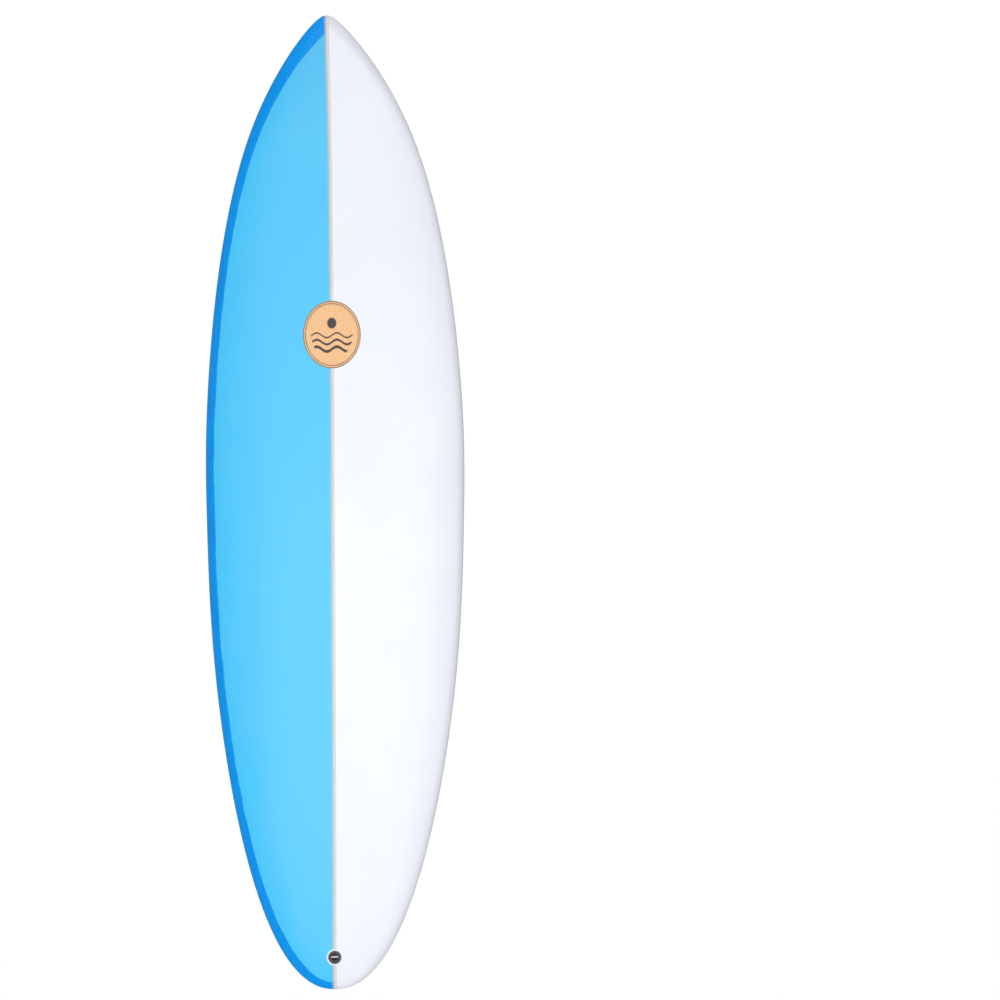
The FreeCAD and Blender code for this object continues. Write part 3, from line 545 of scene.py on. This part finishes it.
class Paint:
    """One material's node graph.  Lengths and places in it are in millimetres."""

    def __init__(self, name, finish):
        self.material = bpy.data.materials.new(name)
        self.material.use_nodes = True
        self.tree = self.material.node_tree
        self.shader = self.tree.nodes["Principled BSDF"]
        for socket, value in finish.items():
            self.shader.inputs[socket].default_value = value
        place = self.node("ShaderNodeTexCoord")["Object"]
        self.at = self.scaled(place, (1 / MM,) * 3)
        self.x, _, self.z = self.node("ShaderNodeSeparateXYZ", {0: self.at})

    def node(self, kind, values=None, **settings):
        node = self.tree.nodes.new(kind)
        for setting, value in settings.items():
            setattr(node, setting, value)
        for key, value in (values or {}).items():
            if isinstance(value, bpy.types.NodeSocket):
                self.tree.links.new(value, node.inputs[key])
            else:
                node.inputs[key].default_value = value
        return node.outputs

    def scaled(self, vector, factors):
        return self.node("ShaderNodeVectorMath", {0: vector, 1: factors}, operation="MULTIPLY")[0]

    def math(self, operation, *values):
        return self.node("ShaderNodeMath", dict(enumerate(values)), operation=operation)[0]

    def noise(self, grain, detail=2.0, stretch=(1, 1, 1)):
        """Noise round 0.5 with grains of a size, drawn out along an axis by its stretch."""
        at = self.scaled(self.at, tuple(1 / (grain * axis) for axis in stretch))
        return self.node("ShaderNodeTexNoise", {"Vector": at, "Scale": 1.0, "Detail": detail})[0]

    def ease(self, value, low, high, start=0.0, stop=1.0):
        """Goes from start to stop, as a value goes from low to high."""
        return self.node("ShaderNodeMapRange", {0: value, 1: low, 2: high, 3: start, 4: stop},
                         interpolation_type="SMOOTHSTEP")[0]

    def mottle(self, grain, detail=4.0, stretch=(1, 1, 1), start=0.0, stop=1.0):
        """Soft patches of a size that range from start to stop."""
        return self.ease(self.noise(grain, detail, stretch), 0.3, 0.7, start, stop)

    def band(self, value, low, high, soft=0.15):
        """1 while a value is between low and high, and 0 outside."""
        return self.math("MULTIPLY", self.ease(value, low - soft, low + soft),
                         self.ease(value, high - soft, high + soft, 1.0, 0.0))

    def line(self, value, width, soft=0.15):
        """1 while a value is within half a width of zero."""
        return self.ease(self.math("ABSOLUTE", value), width / 2 - soft, width / 2 + soft, 1.0, 0.0)

    def mix(self, share, first, second):
        return self.node("ShaderNodeMix", {0: share, 6: first, 7: second}, data_type="RGBA")[2]

    def finish(self, colour, roughness, height, depth):
        """Connect the colour, the roughness and a bump of a depth."""
        self.tree.links.new(colour, self.shader.inputs["Base Color"])
        self.tree.links.new(roughness, self.shader.inputs["Roughness"])
        relief = {"Height": height, "Distance": depth * MM, "Strength": 1.0}
        self.tree.links.new(self.node("ShaderNodeBump", relief)[0], self.shader.inputs["Normal"])
        return self.material


def resin(paint, colour):
    """Cloth under satin resin: fine crossed threads, and a slightly uneven polish."""
    threads = [paint.math("SINE", paint.math("MULTIPLY", axis, 2 * math.pi / WEAVE))
               for axis in (paint.x, paint.z)]
    ripple = paint.math("MULTIPLY", paint.noise(40.0, 2.0), 6.0)
    height = paint.math("ADD", paint.math("MULTIPLY", *threads), ripple)
    roughness = paint.mottle(25.0, start=0.3, stop=0.38)
    return paint.finish(colour, roughness, height, WEAVE_DEPTH)


def lap_edge(paint):
    """Distance inside the lap's edge, and 1 on the lap, whose cut threads end unevenly."""
    inside = paint.node("ShaderNodeAttribute", attribute_name="lap_mm")["Fac"]
    fray = paint.math("ADD", paint.noise(3.5, 3.0), paint.math("MULTIPLY", paint.noise(45.0), 1.5))
    reach = paint.ease(fray, 0.8, 1.7, 0.0, 2.2)
    return inside, paint.ease(paint.math("SUBTRACT", inside, reach), -0.2, 0.2, 1.0, 0.0)


def tinted(name, finish):
    """Sky-blue cloth, darker where the lap doubles it and where the tint gathers beside the lap,
    with painted shade towards the nose.
    """
    paint = Paint(name, finish)
    inside, on_lap = lap_edge(paint)
    cloud = paint.mottle(160.0, 5.0, start=-14.0, stop=14.0)
    field = paint.mix(paint.ease(paint.math("ADD", inside, cloud), 0.0, 70.0), SKY_DEEP, SKY)
    # painted shade: the blue greys towards the nose, where the light falls off
    field = paint.mix(paint.ease(paint.z, NOSE_SHADE_FROM, LENGTH, 0.0, 0.6), field, NOSE_SHADE_BLUE)
    streaks = paint.noise(2.2, 3.0, (1, 1, 40))
    lap = paint.mix(paint.ease(streaks, 0.35, 0.75), LAP_BLUE, LAP_DEEP)
    fade = paint.ease(paint.x, TAPE_FROM - 3.5, TAPE_FROM, 0.0, 0.6)
    return resin(paint, paint.mix(fade, paint.mix(on_lap, field, lap), TAPE_EDGE))


def stringer_under(paint, colour, pencilled):
    """The wood and its glue line, seen through the clear cloth."""
    grain = paint.ease(paint.noise(0.9, 3.0, (1, 1, 60)), 0.35, 0.75)
    wood = paint.mix(grain, WOOD_UNDER, WOOD_GRAIN)
    if pencilled:
        strokes = paint.ease(paint.noise(4.5, 2.0, (0.5, 1, 1)), 0.49, 0.56)
        across = paint.band(paint.x, -0.6, 1.9)
        for low, high in PENCILLED:
            written = paint.math("MULTIPLY", paint.band(paint.z, low, high, 2.0), across)
            wood = paint.mix(paint.math("MULTIPLY", written, strokes), wood, PENCIL)
    colour = paint.mix(paint.band(paint.x, TAPE_FROM, WOOD_EDGE), colour, wood)
    colour = paint.mix(paint.band(paint.x, WOOD_EDGE, GLUE_EDGE, 0.3), colour, GLUE_UNDER)
    return paint.mix(paint.band(paint.x, TAPE_FROM, TAPE_TO, 0.3), colour, TAPE_EDGE)


def clear(name, pencilled=False):
    """Clear cloth over white foam, a little greyer where the lap doubles it, with painted shade
    towards the rail's edge.
    """
    paint = Paint(name, RESIN_FINISH)
    inside, on_lap = lap_edge(paint)
    field = paint.mix(paint.mottle(120.0, 5.0), WHITE, WHITE_DEEP)
    streaks = paint.noise(2.2, 3.0, (1, 1, 40))
    lap = paint.mix(paint.ease(streaks, 0.35, 0.75), LAP_WHITE, LAP_WHITE_DEEP)
    colour = paint.mix(paint.math("MULTIPLY", on_lap, 0.5), field, lap)
    # painted shade: the lap greys towards the rail's edge, where the rail turns from the light
    colour = paint.mix(paint.ease(inside, -22.0, -2.0, 0.6, 0.0), colour, RAIL_SHADE)
    return resin(paint, stringer_under(paint, colour, pencilled))


def badge(name, centre, half):
    """Tan paper with a border, a sun and three waves, all generic."""
    paint = Paint(name, RESIN_FINISH)
    across = paint.math("DIVIDE", paint.math("SUBTRACT", paint.x, centre[0]), half[0])
    up = paint.math("DIVIDE", paint.math("SUBTRACT", paint.z, centre[1]), half[1])

    def distance(lift):
        above = paint.math("SUBTRACT", up, lift)
        return paint.math("SQRT", paint.math("ADD", paint.math("MULTIPLY", across, across),
                                             paint.math("MULTIPLY", above, above)))

    radius = distance(0.0)
    border = paint.math("MAXIMUM", paint.band(radius, 0.965, 1.2, 0.01),
                        paint.band(radius, 0.90, 0.93, 0.01))
    ink = paint.math("MULTIPLY", border, 0.75)
    sun = paint.ease(distance(0.34), 0.15, 0.17, 1.0, 0.0)
    ink = paint.math("MAXIMUM", ink, sun)
    swell = paint.math("MULTIPLY", paint.math("SINE", paint.math("MULTIPLY", across, 9.0)), 0.07)
    within = paint.ease(radius, 0.71, 0.73, 1.0, 0.0)
    for level, width in ((-0.02, 0.05), (-0.22, 0.07), (-0.43, 0.09)):
        height = paint.math("SUBTRACT", paint.math("SUBTRACT", up, level), swell)
        wave = paint.line(height, width, 0.01)
        ink = paint.math("MAXIMUM", ink, paint.math("MULTIPLY", wave, within))
    fibres = paint.mottle(1.3, stretch=(1, 1, 4))
    return resin(paint, paint.mix(ink, paint.mix(fibres, KRAFT, KRAFT_DEEP), INK))


def strokes(name):
    """Three dark ripples on white, along the mark's length."""
    paint = Paint(name, RESIN_FINISH)
    c, s = math.cos(math.radians(MARK_LEAN)), math.sin(math.radians(MARK_LEAN))
    x = paint.math("SUBTRACT", paint.x, MARK[0])
    z = paint.math("SUBTRACT", paint.z, MARK[1])
    along = paint.math("ADD", paint.math("MULTIPLY", x, s), paint.math("MULTIPLY", z, c))
    across = paint.math("SUBTRACT", paint.math("MULTIPLY", x, c), paint.math("MULTIPLY", z, s))
    ripple = paint.math("MULTIPLY", paint.math("SINE", paint.math("MULTIPLY", along, 0.24)), 2.6)
    ink = None
    for offset, reach in ((-8.5, 35.0), (0.0, 42.0), (8.5, 35.0)):
        beside = paint.math("SUBTRACT", paint.math("SUBTRACT", across, offset), ripple)
        stroke = paint.math("MULTIPLY", paint.line(beside, 4.4), paint.line(along, 2 * reach, 0.5))
        ink = paint.math("MAXIMUM", ink, stroke) if ink else stroke
    paper = paint.mix(paint.mottle(2.0), WHITE, WHITE_DEEP)
    return resin(paint, paint.mix(ink, paper, STROKE))


def moulded(name, first, second, roughness, grain=0.6, depth=0.01, **finish):
    """Moulded plastic: faint flow marks and a fine moulded texture."""
    sockets = {key.replace("_", " "): value for key, value in finish.items()}
    paint = Paint(name, {"IOR": 1.46, **sockets})
    colour = paint.mix(paint.mottle(7.0), first, second)
    rough = paint.mottle(3.0, start=roughness - 0.05, stop=roughness + 0.07)
    return paint.finish(colour, rough, paint.noise(grain, 3.0), depth)


def turned(name, first, second, stretch, metallic=1.0):
    """Steel with fine tool marks drawn along one axis, and a little staining."""
    paint = Paint(name, {"Metallic": metallic})
    marks = paint.noise(0.12, 3.0, stretch)
    colour = paint.mix(paint.ease(paint.noise(2.5, 4.0), 0.35, 0.7), first, second)
    return paint.finish(colour, paint.ease(marks, 0.3, 0.7, 0.22, 0.42), marks, 0.004)


def foam():
    """Closed-cell foam: pale, matte, with small cells."""
    paint = Paint("foam_blank", {"IOR": 1.4})
    at = paint.scaled(paint.at, (1.4,) * 3)
    cells = paint.node("ShaderNodeTexVoronoi", {"Vector": at, "Scale": 1.0})["Distance"]
    colour = paint.mix(paint.mottle(30.0), srgb(241, 241, 234), srgb(231, 230, 219))
    return paint.finish(colour, paint.ease(cells, 0.0, 0.8, 0.7, 0.9), cells, 0.12)


def wood():
    """Pale straight-grained wood along the board's length."""
    paint = Paint("stringer_wood", {"IOR": 1.45})
    grain = paint.noise(0.8, 4.0, (1, 1, 70))
    colour = paint.mix(paint.ease(grain, 0.35, 0.7), srgb(225, 202, 160), srgb(191, 157, 108))
    return paint.finish(colour, paint.ease(grain, 0.3, 0.7, 0.5, 0.65), grain, 0.05)


def bed():
    """Set resin round a plug: milky, with a few small bubbles."""
    paint = Paint("resin_bed", {"IOR": 1.5, "Coat Weight": 0.5, "Coat Roughness": 0.2})
    bubbles = paint.node("ShaderNodeTexVoronoi", {"Vector": paint.at, "Scale": 0.35})["Distance"]
    spots = paint.ease(bubbles, 0.06, 0.14, 1.0, 0.0)
    milky = paint.mix(paint.mottle(5.0), srgb(240, 241, 245), srgb(226, 228, 235))
    colour = paint.mix(spots, milky, srgb(214, 216, 224))
    return paint.finish(colour, paint.mottle(4.0, 3.0, start=0.3, stop=0.42), spots, 0.02)


LOOKS = {
    "foam": foam(),
    "wood": wood(),
    "glue": moulded("glue_line", srgb(205, 184, 150), srgb(186, 163, 126), 0.35, 1.2, 0.02),
    "tinted_laminate": tinted("tinted_laminate", RESIN_FINISH),
    "clear_laminate": clear("clear_laminate"),
    "tinted_lap": tinted("tinted_lap", LAP_FINISH),
    "clear_lap": clear("clear_lap"),
    "deck_print": badge("deck_print", DECK_BADGE, DECK_OVAL),
    "bottom_print": badge("bottom_print", BOTTOM_BADGE, BOTTOM_OVAL),
    "mark_print": strokes("mark_print"),
    "cup_plastic": moulded("cup_plastic", srgb(84, 86, 92), srgb(68, 70, 76), 0.38),
    "bar_steel": turned("bar_steel", srgb(244, 245, 247), srgb(228, 230, 233), (60, 1, 1), 0.4),
    "resin_bed": bed(),
    "plug_plastic": moulded("plug_plastic", FROSTED, FROSTED_DEEP, 0.45, Coat_Weight=0.2),
    "socket_plastic": moulded("socket_plastic", srgb(250, 250, 252), srgb(243, 244, 248), 0.3,
                              Coat_Weight=0.3),
    "screw_steel": turned("screw_steel", srgb(98, 98, 102), srgb(76, 76, 80), (1, 1, 1)),
}
BOTTOM_CLEAR = clear("clear_laminate_bottom", pencilled=True)

for part in frame["record"]["subparts"]:
    node, slot = part["node"], part["material_slot"]
    for material_slot in nodes[node].material_slots:
        material_slot.material = LOOKS[slot]
    if node in pieces:
        look = BOTTOM_CLEAR if node == "bottom_laminate_right" else LOOKS[slot]
        pieces[node][0].data.materials.clear()
        pieces[node][0].data.materials.append(look)

# ---------------------------------------------------------------- stage, lights and camera

STAGE_RADIUS, STAGE_FILLET, STAGE_WALL = 6.0, 3.0, 9.0  # metres
STAGE_SIDES, STAGE_STEPS, STAGE_BASE = 96, 12, 0.06


def cyclorama():
    """A pale round floor that curves up into a wall, far enough out for a camera on any side."""
    profile = [(STAGE_RADIUS, 0.0)]
    for step in range(1, STAGE_STEPS + 1):
        angle = math.radians(90 * step / STAGE_STEPS)
        profile.append((STAGE_RADIUS + STAGE_FILLET * math.sin(angle),
                        STAGE_FILLET * (1 - math.cos(angle))))
    profile.append((STAGE_RADIUS + STAGE_FILLET, STAGE_WALL))
    work = bmesh.new()
    around = np.linspace(0, 2 * math.pi, STAGE_SIDES, endpoint=False)
    rings = [[work.verts.new((radius * math.cos(a), radius * math.sin(a), height))
              for a in around] for radius, height in profile]
    work.faces.new(rings[0])
    for lower, upper in zip(rings, rings[1:]):
        for i in range(STAGE_SIDES):
            j = (i + 1) % STAGE_SIDES
            work.faces.new((lower[i], lower[j], upper[j], upper[i]))
    mesh = bpy.data.meshes.new("studio")
    work.to_mesh(mesh)
    work.free()
    mesh.shade_smooth()
    obj = bpy.data.objects.new("studio", mesh)
    bpy.context.scene.collection.objects.link(obj)
    paint = bpy.data.materials.new("studio_white")
    paint.use_nodes = True
    shader = paint.node_tree.nodes["Principled BSDF"]
    for socket, value in {"Base Color": (STAGE_BASE,) * 3 + (1.0,), "Roughness": 1.0,
                          "Specular IOR Level": 0.0, "Emission Color": (1.0,) * 4,
                          "Emission Strength": 1.0}.items():
        shader.inputs[socket].default_value = value
    mesh.materials.append(paint)
    obj.visible_diffuse = obj.visible_glossy = obj.visible_transmission = False


def softbox(name, place, target, width, height, watts):
    """A rectangular soft light."""
    light = bpy.data.lights.new(name, "AREA")
    light.shape = "RECTANGLE"
    light.size, light.size_y, light.energy = width, height, watts
    obj = bpy.data.objects.new(name, light)
    obj.location = place
    obj.rotation_mode = "QUATERNION"
    obj.rotation_quaternion = (Vector(target) - Vector(place)).to_track_quat("-Z", "Y")
    obj.visible_camera = False
    bpy.context.scene.collection.objects.link(obj)
    return obj


cyclorama()

# a weak key gives the gloss, and a strong fill that isn't mirrored gives the even light
MIDDLE = (0.0, 0.0, LENGTH * MM / 2)
KEY_WATTS, FILL_WATTS, AIR, AIR_STRENGTH = 20.0, 116.0, (0.97, 0.98, 1.0, 1.0), 0.37
for side, where in ((-1, "front"), (1, "back")):
    softbox("key_" + where, (0.1, side * 3.4, 0.8), MIDDLE, 3.0, 2.6, KEY_WATTS)
    fill = softbox("fill_" + where, (0.1, side * 3.1, 0.1), MIDDLE, 2.4, 2.2, FILL_WATTS)
    fill.visible_glossy = False

world = bpy.data.worlds.new("studio_air")
world.use_nodes = True
background = world.node_tree.nodes["Background"]
background.inputs["Color"].default_value = AIR
background.inputs["Strength"].default_value = AIR_STRENGTH
bpy.context.scene.world = world
bpy.context.scene.view_settings.view_transform = "Standard"

CAMERA, LENS, SENSOR = (0.3147, -2.6138, 0.9038), 46.8, 36.0
PITCH, YAW, ROLL = (math.radians(angle) for angle in (1.46, 0.46, -0.47))
lens = bpy.data.cameras.new("camera")
lens.lens, lens.sensor_width = LENS, SENSOR
camera = bpy.data.objects.new("camera", lens)
camera.location = CAMERA
camera.rotation_mode = "QUATERNION"
level = math.cos(PITCH)
facing = Vector((math.sin(YAW) * level, math.cos(YAW) * level, math.sin(PITCH)))
roll = Matrix.Rotation(ROLL, 3, "Z").to_quaternion()
camera.rotation_quaternion = facing.to_track_quat("-Z", "Y") @ roll
bpy.context.scene.collection.objects.link(camera)
bpy.context.scene.camera = camera
